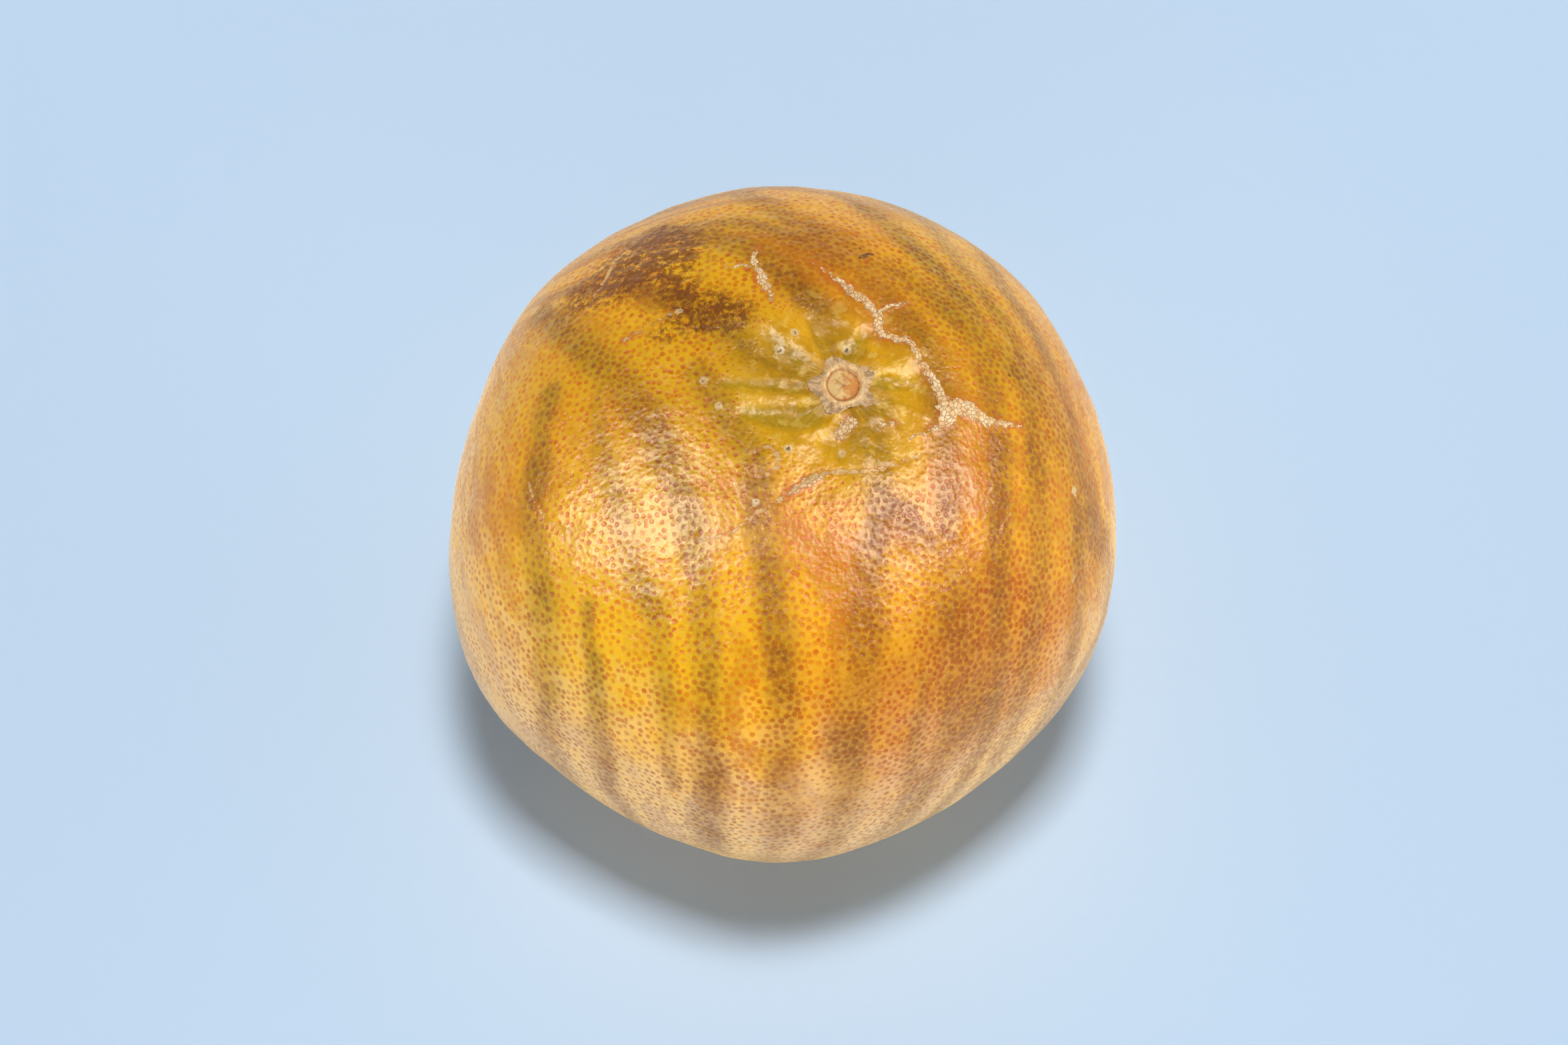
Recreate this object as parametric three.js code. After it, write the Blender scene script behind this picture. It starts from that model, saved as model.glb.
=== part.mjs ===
// A striped grapefruit, one natural fruit with its dried calyx button, standing stem end up.
// Millimetres, +Z up.  The origin is the middle of the flat spot the fruit rests on.
import * as THREE from 'three';

// Overall body
const BODY_WIDTH = 99.2;
const CROWN_RISE = 43.4;         // widest level up to the stem end, before its hollow
const BASE_DROP = 45.2;          // widest level down to the blossom end, before the rest spot
const SHOULDER_POWER = 2.25;     // 2 is an ellipse, more is squarer
const REST_SPOT_CUT = 1.1;       // how far the blossom end is flattened

// Uneven growth seen from above, as shares of the radius, with the direction of one bulge
const LOBES = [
  { count: 2, share: 0.009, degrees: 60 },
  { count: 3, share: 0.0075, degrees: -22 },
  { count: 4, share: 0.003, degrees: 12 },
  { count: 5, share: 0.0125, degrees: -16 },
  { count: 6, share: 0.008, degrees: 29 },
];

// Stem end
const STEM_LEAN = 11.6;          // degrees from upright, toward +X
const HOLLOW_DEPTH = 1.6;
const HOLLOW_SPREAD = 9;
const FURROWS = 7;
const FURROW_DEPTH = 0.8;
const FURROW_START = 6.4;        // arc distance from the stem axis
const FURROW_FULL = 9;
const FURROW_END = 21;
const FURROW_TURN = 3;           // degrees, direction of the first furrow

// Dried calyx button and the seat it sits in
const SEAT_GAP = 0.3;
const CALYX_TIP_RADIUS = 5.1;
const CALYX_NOTCH_RADIUS = 4.1;
const CALYX_POINTS = 5;
const CALYX_TURN = 36;           // degrees, direction of one point
const CALYX_EDGE = 0.5;          // thickness at the ragged edge
const SEAT_DEPTH = 1.1;
const COLLAR_RADIUS = 3.3;
const COLLAR_HEIGHT = 1.35;
const COLLAR_LIP = 0.3;
const GROOVE_WIDTH = 0.3;
const GROOVE_FLOOR = 0.95;
const SCAR_EDGE_HEIGHT = 1.3;
const SCAR_CROWN = 0.35;         // rise of the stalk scar's middle over its edge

// Fineness of the facets
const BODY_SECTORS = FURROWS * 10;
const STEM_END_RINGS = 10;
const SIDE_RINGS = 22;
const BASE_RINGS = 3;
const STEM_END_MARGIN = 2;       // closely spaced rings run this far past the furrows
const BASE_RING_SPAN = 17;       // degrees from the blossom end covered by the last rings
const CALYX_SECTORS = CALYX_POINTS * 8;

const RIND = { color: 0xcf8f34, roughness: 0.45, metalness: 0 };
const DRY_CALYX = { color: 0xb39a6a, roughness: 0.9, metalness: 0 };

const radians = THREE.MathUtils.degToRad;
const BODY_CENTRE = new THREE.Vector3(0, 0, BASE_DROP - REST_SPOT_CUT);

/** Direction at `angle` from the stem axis; the axis leans at the crown and is upright at the base. */
function direction(angle, azimuth) {
  const upright = new THREE.Vector3(
    Math.sin(angle) * Math.cos(azimuth),
    Math.sin(angle) * Math.sin(azimuth),
    Math.cos(angle),
  );
  const lean = radians(STEM_LEAN) * ((1 + upright.z) / 2) ** 2;
  return upright.applyAxisAngle(new THREE.Vector3(0, 1, 0), lean);
}

/** Distance from the body's centre to its smooth outside: a squared-off spheroid with lobes. */
function bodyReach(dir) {
  const across = Math.hypot(dir.x, dir.y);
  const half = dir.z > 0 ? CROWN_RISE : BASE_DROP;
  const power = SHOULDER_POWER;
  const round = (across / (BODY_WIDTH / 2)) ** power + (Math.abs(dir.z) / half) ** power;
  const heading = Math.atan2(dir.y, dir.x);
  let swell = 1;
  for (const { count, share, degrees } of LOBES) {
    swell += share * across ** count * Math.cos(count * (heading - radians(degrees)));
  }
  return swell * round ** (-1 / power);
}

/** How far the rind dips at an arc distance from the stem axis: a hollow with radial furrows. */
function stemEndDip(arc, azimuth) {
  const hollow = HOLLOW_DEPTH * Math.exp(-((arc / HOLLOW_SPREAD) ** 2));
  const rise = THREE.MathUtils.smoothstep(arc, FURROW_START, FURROW_FULL);
  const fade = 1 - THREE.MathUtils.smoothstep(arc, FURROW_FULL, FURROW_END);
  const wave = 0.5 + 0.5 * Math.cos(FURROWS * (azimuth - radians(FURROW_TURN)));
  return hollow + FURROW_DEPTH * rise * fade * wave;
}

/** Distance from the body's centre to the rind. */
function rindReach(angle, azimuth) {
  const reach = bodyReach(direction(angle, azimuth));
  return reach - stemEndDip(angle * reach, azimuth);
}

/** Distance from the body's centre to the floor of the calyx's seat. */
const SEAT_REACH = rindReach(0, 0) - SEAT_DEPTH;

/** A point `reach` away from the body's centre, kept above the plane the fruit rests on. */
function pointAt(angle, azimuth, reach) {
  const point = direction(angle, azimuth).multiplyScalar(reach).add(BODY_CENTRE);
  point.z = Math.max(point.z, 0);
  return point;
}

/** One ring of points, from a function of azimuth. */
function ring(sectors, place) {
  return Array.from({ length: sectors }, (_, i) => place((2 * Math.PI * i) / sectors));
}

/** Closed skin through rings that run from one end point to the other, facing outward. */
function skin(name, look, first, rings, last) {
  const sectors = rings[0].length;
  const points = [first, ...rings.flat(), last];
  const end = points.length - 1;
  const faces = [];
  for (let i = 0; i < sectors; i++) {
    const next = (i + 1) % sectors;
    faces.push(0, 1 + i, 1 + next);
    for (let row = 0; row < rings.length - 1; row++) {
      const a = 1 + row * sectors + i;
      const b = 1 + row * sectors + next;
      faces.push(a, a + sectors, b, b, a + sectors, b + sectors);
    }
    faces.push(end, end - sectors + next, end - sectors + i);
  }
  const geometry = new THREE.BufferGeometry().setFromPoints(points);
  geometry.setIndex(faces);
  geometry.computeVertexNormals();
  const mesh = new THREE.Mesh(geometry, new THREE.MeshStandardMaterial(look));
  mesh.name = name;
  return mesh;
}

/** Evenly spaced values from `from` to `to`, leaving out the first. */
function steps(from, to, count) {
  return Array.from({ length: count }, (_, i) => from + ((to - from) * (i + 1)) / count);
}

/** Outline of the ragged calyx: a five-pointed star with rounded notches. */
function calyxEdge(azimuth) {
  const star = 0.5 + 0.5 * Math.cos(CALYX_POINTS * (azimuth - radians(CALYX_TURN)));
  return THREE.MathUtils.lerp(CALYX_NOTCH_RADIUS, CALYX_TIP_RADIUS, star);
}

/** The rind and all inside it as one solid, with a star-shaped seat sunk into the stem end. */
function makeFruit() {
  const seatAngle = (azimuth) => (calyxEdge(azimuth) + SEAT_GAP) / SEAT_REACH;
  const stemEndAngle = (FURROW_END + STEM_END_MARGIN) / CROWN_RISE;
  const baseAngle = Math.PI - radians(BASE_RING_SPAN);
  const floor = steps(0, 1, 2).map((share) =>
    ring(BODY_SECTORS, (azimuth) => pointAt(share * seatAngle(azimuth), azimuth, SEAT_REACH)));
  const stemEnd = [0, ...steps(0, 1, STEM_END_RINGS)].map((share) =>
    ring(BODY_SECTORS, (azimuth) => {
      const angle = THREE.MathUtils.lerp(seatAngle(azimuth), stemEndAngle, share);
      return pointAt(angle, azimuth, rindReach(angle, azimuth));
    }));
  const side = [
    ...steps(stemEndAngle, baseAngle, SIDE_RINGS),
    ...steps(baseAngle, Math.PI, BASE_RINGS).slice(0, -1),
  ].map((angle) =>
    ring(BODY_SECTORS, (azimuth) => pointAt(angle, azimuth, rindReach(angle, azimuth))));
  const top = pointAt(0, 0, SEAT_REACH);
  const bottom = pointAt(Math.PI, 0, rindReach(Math.PI, 0));
  return skin('fruit', RIND, top, [...floor, ...stemEnd, ...side], bottom);
}

/** Dried calyx with its collar, groove and the low dome of the stalk scar, curved with the seat. */
function makeCalyxButton() {
  const at = (across, height) => (azimuth) =>
    pointAt(across / SEAT_REACH, azimuth, SEAT_REACH + height);
  const scarRadius = COLLAR_RADIUS - COLLAR_LIP - GROOVE_WIDTH;
  const dome = (across) => SCAR_EDGE_HEIGHT + SCAR_CROWN * (1 - (across / scarRadius) ** 2);
  const top = SEAT_GAP + CALYX_EDGE;
  const sepal = (share, height) => (azimuth) =>
    at(THREE.MathUtils.lerp(COLLAR_RADIUS, calyxEdge(azimuth), share), height)(azimuth);
  const places = [
    ...steps(0, scarRadius, 3).map((across) => at(across, dome(across))),
    at(scarRadius + GROOVE_WIDTH / 2, GROOVE_FLOOR),
    at(COLLAR_RADIUS - COLLAR_LIP, COLLAR_HEIGHT),
    at(COLLAR_RADIUS, COLLAR_HEIGHT),
    sepal(0.35, THREE.MathUtils.lerp(top, COLLAR_HEIGHT, 0.35)),
    sepal(1, top),
    sepal(1, SEAT_GAP),
    at(COLLAR_RADIUS, SEAT_GAP),
    at(scarRadius / 2, SEAT_GAP),
  ];
  const rings = places.map((place) => ring(CALYX_SECTORS, place));
  const crown = pointAt(0, 0, SEAT_REACH + dome(0));
  const foot = pointAt(0, 0, SEAT_REACH + SEAT_GAP);
  return skin('calyx_button', DRY_CALYX, crown, rings, foot);
}

const grapefruit = new THREE.Group();
grapefruit.name = 'striped_grapefruit';
grapefruit.add(makeFruit(), makeCalyxButton());

export default grapefruit;
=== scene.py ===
"""A striped grapefruit on a pale floor: pitted, striped and scarred rind with its dried calyx button.

Lengths are in millimetres while the surfaces are worked out, and in metres in the meshes.
"""

from math import radians

import bpy
import numpy as np
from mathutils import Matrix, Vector
from mathutils.geometry import delaunay_2d_cdt


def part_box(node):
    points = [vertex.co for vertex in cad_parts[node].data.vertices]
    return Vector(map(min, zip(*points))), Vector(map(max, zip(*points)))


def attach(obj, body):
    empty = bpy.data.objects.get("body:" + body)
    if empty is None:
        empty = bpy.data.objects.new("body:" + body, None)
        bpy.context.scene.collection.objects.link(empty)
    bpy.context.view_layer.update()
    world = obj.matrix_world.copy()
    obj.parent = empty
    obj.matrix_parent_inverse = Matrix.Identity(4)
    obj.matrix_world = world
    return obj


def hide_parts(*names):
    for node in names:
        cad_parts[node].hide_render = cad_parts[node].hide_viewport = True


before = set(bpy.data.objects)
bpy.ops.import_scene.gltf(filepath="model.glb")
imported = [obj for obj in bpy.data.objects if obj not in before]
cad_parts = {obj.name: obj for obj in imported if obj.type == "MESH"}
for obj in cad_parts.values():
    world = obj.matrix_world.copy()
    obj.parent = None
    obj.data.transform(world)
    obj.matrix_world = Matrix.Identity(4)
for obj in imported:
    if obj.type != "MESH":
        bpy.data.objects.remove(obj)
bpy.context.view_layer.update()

MM = 0.001
GOLDEN_TURN = np.pi * (3 - np.sqrt(5))

# ---------------------------------------------------------------- sizes, as the solid fruit has them
BODY_WIDTH = 99.2
CROWN_RISE = 43.4
BASE_DROP = 45.2
SHOULDER_POWER = 2.25
REST_SPOT_CUT = 1.1
LOBES = (  # bulges round the body, share of the radius, heading of one bulge in degrees
    (2, 0.009, 60),
    (3, 0.0075, -22),
    (4, 0.003, 12),
    (5, 0.0125, -16),
    (6, 0.008, 29),
)
STEM_LEAN = 11.6
HOLLOW_DEPTH = 1.6
HOLLOW_SPREAD = 9.0
FURROWS = 7
FURROW_DEPTH = 0.8
FURROW_START, FURROW_FULL, FURROW_END = 6.4, 9.0, 21.0
FURROW_TURN = 3.0
CALYX_TIP_RADIUS = 5.1
CALYX_NOTCH_RADIUS = 4.1
CALYX_POINTS = 5
CALYX_TURN = 36.0
SEAT_DEPTH = 1.1

# ---------------------------------------------------------------- rind detail
GLAND_PITCH = 1.16               # middle to middle of the oil glands
GLAND_RADIUS = 0.42              # of the coloured spot over a gland
GLAND_JITTER = 0.42              # of the pitch, before the glands are evened out
PIT_DEPTH = 0.025
SCAR_POINT_GAP = 0.38
STEM_END_FINENESS = 0.42         # gland spacing beside the button, as a share of the usual
STEM_END_REACH = 12.0
GLAND_SEED, SIZE_SEED = 7, 8
SMALLEST_GLAND, LARGEST_GLAND = 0.85, 1.15
WAVES = 28                       # cosine waves in each random field
MARK_SPACING = 1.5               # between the points of a mark's line
SCAR_SPACING = 0.45              # between the mesh points laid along a scar
FAR_OFF = 50.0                   # stands for no mark near

# ---------------------------------------------------------------- relief of the rind
SLOW_SWELL, SMALL_SWELL = 0.16, 0.06
WRINKLE, LUMP, FINE_WRINKLE = 0.08, 0.1, 0.04
FURROW_SINK = 0.6
CORK_RISE, HAIRLINE_SINK = 0.16, 0.14
POCK_RIM, POCK_SINK = 0.10, 0.22


# ================================================================ helpers for whole arrays
def unit(vectors):
    """Each vector divided by its own length."""
    return vectors / np.linalg.norm(vectors, axis=-1, keepdims=True)


def smooth(low, high, value):
    """0 below low, 1 above high, 3t^2 - 2t^3 between them."""
    t = np.clip((value - low) / (high - low), 0, 1)
    return t * t * (3 - 2 * t)


def waves(points, length, seed):
    """Smooth random field, about -1 to 1: the sum of WAVES cosine waves of about this wavelength,
    each running in its own random direction with its own random phase, over the root of WAVES."""
    rng = np.random.default_rng(seed)
    runs = unit(rng.normal(size=(WAVES, 3))) * 2 * np.pi / length
    runs *= rng.uniform(0.7, 1.3, (WAVES, 1))
    phases = rng.uniform(0, 2 * np.pi, WAVES)
    return np.cos(points @ runs.T + phases).sum(1) / np.sqrt(WAVES)


# ================================================================ shape of the fruit
def lean(upright):
    """Turns directions about Y by STEM_LEAN x ((1 + z) / 2)^2, fully at the crown, not at the base."""
    turn = radians(STEM_LEAN) * ((1 + upright[:, 2]) / 2) ** 2
    x, y, z = upright.T
    return np.stack([x * np.cos(turn) + z * np.sin(turn), y, z * np.cos(turn) - x * np.sin(turn)], 1)


def body_reach(toward):
    """Distance from the body's middle to its smooth outside: the squared-off spheroid
    ((across/R)^p + (|z|/H)^p)^(-1/p), times 1 + sum of share x across^n x cos(n (heading - bulge))."""
    across = np.hypot(toward[:, 0], toward[:, 1])
    half = np.where(toward[:, 2] > 0, CROWN_RISE, BASE_DROP)
    p = SHOULDER_POWER
    reach = ((across / (BODY_WIDTH / 2)) ** p + (np.abs(toward[:, 2]) / half) ** p) ** (-1 / p)
    heading = np.arctan2(toward[:, 1], toward[:, 0])
    swell = 1 + sum(
        share * across**n * np.cos(n * (heading - radians(bulge))) for n, share, bulge in LOBES
    )
    return reach * swell


def stem_end_dip(arc, heading):
    """Depth of the hollow and its furrows: D exp(-(arc/s)^2) + F x window(arc) x (1 + cos 7h) / 2."""
    hollow = HOLLOW_DEPTH * np.exp(-((arc / HOLLOW_SPREAD) ** 2))
    window = smooth(FURROW_START, FURROW_FULL, arc) * (1 - smooth(FURROW_FULL, FURROW_END, arc))
    wave = 0.5 + 0.5 * np.cos(FURROWS * (heading - radians(FURROW_TURN)))
    return hollow + FURROW_DEPTH * window * wave


def angle_and_heading(upright):
    """Angle from the stem axis, and heading round it, both in radians."""
    angle = np.arccos(np.clip(upright[:, 2], -1, 1))
    return angle, np.arctan2(upright[:, 1], upright[:, 0])


def upright_direction(angle, heading):
    """Unit vectors at this angle from the stem axis and this heading round it."""
    angle, heading = np.broadcast_arrays(angle, heading)
    return np.stack(
        [np.sin(angle) * np.cos(heading), np.sin(angle) * np.sin(heading), np.cos(angle)], -1
    )


def rind_reach(upright):
    """Distance from the body's middle to the rind without its fine detail."""
    angle, heading = angle_and_heading(upright)
    reach = body_reach(lean(upright))
    return reach - stem_end_dip(angle * reach, heading)


def place(upright, reach):
    """Points at this reach, fitted to the solid fruit's box and kept above the rest spot, in mm."""
    points = lean(upright) * reach[:, None]
    return np.maximum(points * FIT_SCALE + FIT_SHIFT, [-np.inf, -np.inf, fruit_low[2]])


def fit_to_frame():
    """Scale and shift, for each axis, that carry the smooth formula's own box, taken on a grid of one
    degree with the rest spot cut off, to the solid's box."""
    angle, heading = np.meshgrid(np.linspace(0, np.pi, 181), np.linspace(0, 2 * np.pi, 361))
    upright = upright_direction(angle.ravel(), heading.ravel())
    own = lean(upright) * rind_reach(upright)[:, None]
    own[:, 2] = np.maximum(own[:, 2], REST_SPOT_CUT - BASE_DROP)
    low, high = own.min(0), own.max(0)
    scale = (fruit_high - fruit_low) / (high - low)
    return scale, fruit_low - low * scale


fruit_low, fruit_high = (np.array(corner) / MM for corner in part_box("fruit"))
FIT_SCALE, FIT_SHIFT = fit_to_frame()


# ================================================================ mesh of the rind
def gland_spacing(angle):
    """Pitch of the glands: the usual one, less a Gaussian share near the button."""
    arc = angle * CROWN_RISE
    return GLAND_PITCH * (1 - (1 - STEM_END_FINENESS) * np.exp(-((arc / STEM_END_REACH) ** 2)))


def spiral_of_glands():
    """Directions on a golden-angle spiral: turn i is at heading i x golden angle, and at the angle
    inside which i cells of area pitch^2 x sqrt(3)/2 fit on a ball of the body's size, read from a
    running sum over fine steps of the angle."""
    angle = np.linspace(0, np.pi, 4001)
    ball = (BODY_WIDTH / 2 + CROWN_RISE) / 2
    cell = gland_spacing(angle) ** 2 * np.sqrt(3) / 2
    held = np.cumsum(2 * np.pi * ball**2 * np.sin(angle) / cell) * (angle[1] - angle[0])
    index = np.arange(int(held[-1]))
    at = np.interp(index + 0.5, held, angle)
    return upright_direction(at, index * GOLDEN_TURN)


def with_blossom_end(directions):
    """The directions with the last one set to the blossom end, straight down from the middle."""
    return np.concatenate([directions[:-1], [[0, 0, -1]]])


def edges_of(triangles, count):
    """(start, end, key, key of the same edge the other way) of every side of every triangle."""
    starts = triangles.ravel()
    ends = np.roll(triangles, -1, 1).ravel()
    return starts, ends, starts * count + ends, ends * count + starts


def triangles_round(directions):
    """Delaunay triangles on the ball, counter-clockwise from outside. The last direction is the
    blossom end; the others are laid flat by (x, y) / (1 + z), which keeps circles round, so their flat
    Delaunay triangles are the ball's, and the flat outline is joined to the blossom end by a fan."""
    flat = directions[:-1, :2] / (1 + directions[:-1, 2:])
    laid = delaunay_2d_cdt(flat.tolist(), [], [], 0, 1e-9, False)
    triangles = np.array(laid[2])
    starts, ends, key, other_way = edges_of(triangles, len(directions))
    outline = ~np.isin(other_way, key)
    blossom_end = np.full(outline.sum(), len(directions) - 1)
    return np.concatenate([triangles, np.stack([ends[outline], starts[outline], blossom_end], 1)])


def even_out(directions, triangles):
    """Each direction moved to the mean of the middles of the triangles round it."""
    middles = np.repeat(unit(directions[triangles].mean(1)), 3, 0)
    total = np.zeros_like(directions)
    np.add.at(total, triangles.ravel(), middles)
    return unit(total)


def clear_of(directions, others, gap):
    """The directions whose nearest other is farther off than the gap in mm, by their dot products."""
    nearest = (directions @ others.T).max(1)
    return directions[nearest < np.cos(gap / CROWN_RISE)]


def thinned(directions, gap):
    """The directions that no earlier one stands within the gap of, in mm."""
    closeness = np.tril(directions @ directions.T, -1)
    return directions[closeness.max(1) < np.cos(gap / CROWN_RISE)]


def gland_cells(scar_middles):
    """(directions, faces, cell of each face, cells, glands). Every gland is a fan of triangles from its
    middle to the corners of its cell, which are the middles of the Delaunay triangles round it: one
    triangle (gland, middle right of the edge, middle left of it) for each way along each edge.
    Points along the scars are middles of cells too, after the glands."""
    rng = np.random.default_rng(GLAND_SEED)
    glands = spiral_of_glands()
    step = gland_spacing(np.arccos(glands[:, 2])) / (BODY_WIDTH / 2)
    jitter = rng.normal(size=glands.shape) * step[:, None] * GLAND_JITTER
    glands = with_blossom_end(unit(glands + jitter))
    glands = even_out(glands, triangles_round(glands))
    glands = clear_of(glands, scar_middles, SCAR_POINT_GAP)
    gland_count = len(glands)
    middles = with_blossom_end(np.concatenate([glands, scar_middles, glands[-1:]]))
    triangles = triangles_round(middles)
    count = len(middles)
    starts, _, key, other_way = edges_of(triangles, count)
    left = np.repeat(np.arange(len(triangles)), 3)
    order = np.argsort(key)
    right = left[order[np.searchsorted(key[order], other_way)]]
    corners = unit(middles[triangles].mean(1))
    faces = np.stack([starts, count + right, count + left], 1)
    centred = even_out(middles, triangles)
    return np.concatenate([centred, corners]), faces, starts, count, gland_count


def trail(stations, spacing=0.5):
    """Directions along a smooth line through stations of (angle, heading) in degrees: cubic
    Catmull-Rom spans between neighbours, each put back on the ball, at about this spacing in mm."""
    angle, heading = np.radians(np.array(stations, float)).T
    knots = upright_direction(angle, heading)
    if len(knots) == 1:
        return knots
    padded = np.concatenate([2 * knots[:1] - knots[1:2], knots, 2 * knots[-1:] - knots[-2:-1]])
    pieces = []
    for before, start, end, after in zip(padded, padded[1:], padded[2:], padded[3:]):
        steps = max(2, int(np.linalg.norm(end - start) * BODY_WIDTH / 2 / spacing))
        t = np.linspace(0, 1, steps, endpoint=False)[:, None]
        pieces.append(
            start
            + t * (end - before) / 2
            + t**2 * (before - 2.5 * start + 2 * end - after / 2)
            + t**3 * (1.5 * (start - end) + (after - before) / 2)
        )
    return unit(np.concatenate([*pieces, knots[-1:]]))


def nearest_on(points, path):
    """(distance, share of the length) of the nearest place on a path of points, all in mm: every
    point is dropped onto every straight stretch and the shortest drop is kept."""
    nearest = np.linalg.norm(points - path[0], axis=1)
    share = np.zeros(len(points))
    for k, (a, b) in enumerate(zip(path[:-1], path[1:])):
        t = np.clip((points - a) @ (b - a) / ((b - a) @ (b - a)), 0, 1)
        distance = np.linalg.norm(points - a - t[:, None] * (b - a), axis=1)
        closer = distance < nearest
        nearest[closer] = distance[closer]
        share[closer] = (k + t[closer]) / (len(path) - 1)
    return nearest, share


def widest_of(points, marks):
    """For each point the largest of (half width - distance) over all marks, in mm: above 0 inside a
    mark, less than 0 outside. A mark is (stations, half widths along it)."""
    most = np.full(len(points), -FAR_OFF)
    for stations, half_widths in marks:
        distance, share = nearest_on(points, on_rind(trail(stations, MARK_SPACING)))
        half_width = np.interp(share, np.linspace(0, 1, len(half_widths)), half_widths)
        most = np.maximum(most, half_width - distance)
    return most


def on_rind(upright):
    """Points of the smooth rind, in mm, in these upright directions."""
    return place(upright, rind_reach(upright))


def set_attribute(mesh, name, kind, domain, values):
    """Stores one number or one vector for each point or face of the mesh."""
    layer = mesh.attributes.new(name, kind, domain)
    layer.data.foreach_set("vector" if kind == "FLOAT_VECTOR" else "value", np.ravel(values))


def make_piece(name, points, faces, smooth_faces=True):
    """A mesh object at the origin from points in mm and faces."""
    mesh = bpy.data.meshes.new(name)
    mesh.from_pydata(points * MM, [], faces)
    mesh.polygons.foreach_set("use_smooth", np.full(len(mesh.polygons), smooth_faces))
    piece = bpy.data.objects.new(name, mesh)
    bpy.context.scene.collection.objects.link(piece)
    return piece


# Marks on the rind. Stations are (angle from the stem axis, heading round it) in degrees.
STRIPES = (  # stations, half widths in mm, strength
    (((52, 176), (57, -160), (62, -147), (70, -138), (82, -134), (104, -130)), (1.5, 1.9, 1.6), 0.8),
    (((58, -137), (71, -126), (87, -122), (108, -116)), (0.8, 1.6, 1.2), 0.75),
    (((43, 170), (43, -168), (44, -151), (49, -134), (53, -123), (68, -113), (82, -109)),
     (0.8, 1.5, 1.0), 0.7),
    (((62, 152), (45, 167), (35, -170), (36, -137), (45, -119), (62, -107), (78, -103), (104, -102)),
     (1.6, 2.2, 1.5, 1.7, 2.0), 0.85),
    (((26, 175), (22, -155), (22, -138), (30, -116), (50, -97), (65, -93), (87, -90), (108, -92)),
     (1.4, 1.7, 2.0, 1.7), 0.8),
    (((52, 126), (42, 120), (33, 115), (25, 112), (16, 103), (8, 82)), (1.6, 2.0, 1.4), 0.85),
    (((15, -60), (36, -77), (51, -79), (64, -81), (88, -80), (108, -86)), (1.2, 2.4, 2.2, 1.8), 0.85),
    (((56, 104), (42, 99), (34, 90), (29, 80), (22, 66), (19, 40), (18, 4), (21, -24), (38, -55)),
     (1.6, 2.1, 1.8, 1.4), 0.75),
    (((38, -55), (49, -58), (63, -60), (78, -62), (104, -70)), (1.4, 1.7, 1.4), 0.85),
    (((56, -66), (73, -68), (88, -68), (108, -76)), (0.8, 1.5, 1.2), 0.7),
    (((54, 83), (39, 66), (35, 50), (32, 34), (29, 12), (30, -6), (37, -31), (44, -41), (53, -46),
      (66, -50), (84, -54), (106, -62)), (1.4, 1.9, 1.5, 1.7, 1.4), 0.85),
    (((56, 66), (42, 50), (39, 20), (38, 1), (41, -14), (47, -27), (65, -42), (88, -48), (108, -54)),
     (1.3, 1.6, 1.8, 1.4), 0.75),
    (((60, 54), (48, 39), (48, 25), (52, -5), (57, -19), (68, -29), (88, -37), (108, -44)),
     (1.3, 1.7, 1.4), 0.8),
)
STRIPE_REACH = 1.45              # of the half width, where a stripe has faded to 1/e
STRIPE_SPACING = 4               # between the points of a stripe's line
STRIPE_WANDER = 0.35             # how far its edges stray, in mm
# Round the far side the stripes are cut by planes through one slanting line between two poles
STRIPE_POLES = ((-0.85, 0.48, 0.23), (-0.3, -0.55, -0.78))
FAR_SIDE = np.array([0.55, 0.75, -0.35])
FAR_STRIPES = 15
FAR_STRIPE_WIDTH = 3.4           # degrees of the plane's turn
FAR_STRIPE_STRENGTH = 0.8
FAR_STRIPES_END = (95, 118)      # degrees of turn from the far side, over which they fade out
STRIPE_POLE_CLEAR = 0.16         # of the reach, round each pole without stripes

CORKY_SCARS = (  # stations, half widths in mm
    (((27, 98), (25, 95), (21, 85), (17, 67), (14, 57), (16, 40), (16, 20), (18, 4), (20, -16)),
     (0.1, 0.3, 0.55, 0.65, 0.6, 0.6, 0.45, 0.65, 1.05)),
    (((20, -16), (22, -5), (27, -8), (36, -5)), (1.0, 1.2, 0.6, 0.15)),
    (((16, 62), (18, 65), (23, 56)), (0.5, 0.25, 0.1)),
    (((20, -16), (18, -29), (16, -38)), (0.7, 0.3, 0.1)),
    (((33, 126), (32, 124), (30, 117)), (0.1, 0.22, 0.3)),
    (((34, 113), (32, 117), (27, 120), (22, 124)), (0.1, 0.45, 0.75, 0.2)),
    (((25, -113), (21, -106), (18, -96)), (0.1, 0.7, 0.15)),
    (((8, -79), (10, -92)), (0.9, 0.8)),
    (((12, -38), (10, -50)), (0.5, 0.2)),
    (((40, 163), (34, 152)), (0.12, 0.2)),
)
HAIRLINES = (
    (((39, -130), (35, -122), (30, -119), (25, -113), (20, -105), (18, -96), (18, -70), (20, -39)),
     (0.1, 0.25, 0.3, 0.35, 0.3, 0.15)),
    (((57, -170), (56, -159), (54, -153), (51, -150)), (0.1, 0.2, 0.12)),
    (((51, 154), (51, 144), (55, 133)), (0.15, 0.3, 0.2)),
    (((63, -30), (61, -26), (64, -21), (74, -19)), (0.1, 0.18, 0.12)),
)
CORKY_RING = ((24, -131), (22, -136), (19, -135), (19, -128), (21, -123), (24, -126), (24, -131))
POCKS = (  # angle, heading, radius of the dark middle in mm
    (14, 129, 0.3), (14, 147, 0.32), (8, 83, 0.34), (6, 27, 0.26), (25, 179, 0.3), (23, -167, 0.26),
    (17, -125, 0.28), (28, -121, 0.22), (14, -89, 0.24), (33, 150, 0.25), (52, -12, 0.25),
)
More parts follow.
